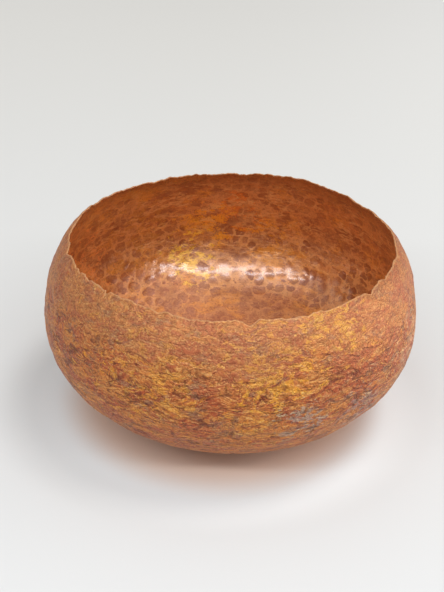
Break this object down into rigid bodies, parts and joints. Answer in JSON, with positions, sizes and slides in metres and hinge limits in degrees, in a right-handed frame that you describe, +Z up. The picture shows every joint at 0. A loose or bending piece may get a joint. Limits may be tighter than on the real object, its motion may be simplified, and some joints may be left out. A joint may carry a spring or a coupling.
{
  "type": "bowl",
  "caption": "Deep round hammered copper bowl with a wide belly, an inturned mouth and a ragged raw edge, standing on a small flat.",
  "frame": {"origin": "centre of the flat underside, on the surface the bowl stands on", "axes": "+Z up through the mouth; +X to the right and +Y away from a viewer who faces the edge's widest nick"},
  "size_m": [0.3, 0.3, 0.1508],
  "materials": {
    "hammered_copper": "hammered, heat-coloured copper, satin outside and brighter inside"
  },
  "bodies": {
    "root": {"bowl_shell": "hammered_copper"}
  },
  "joints": []
}
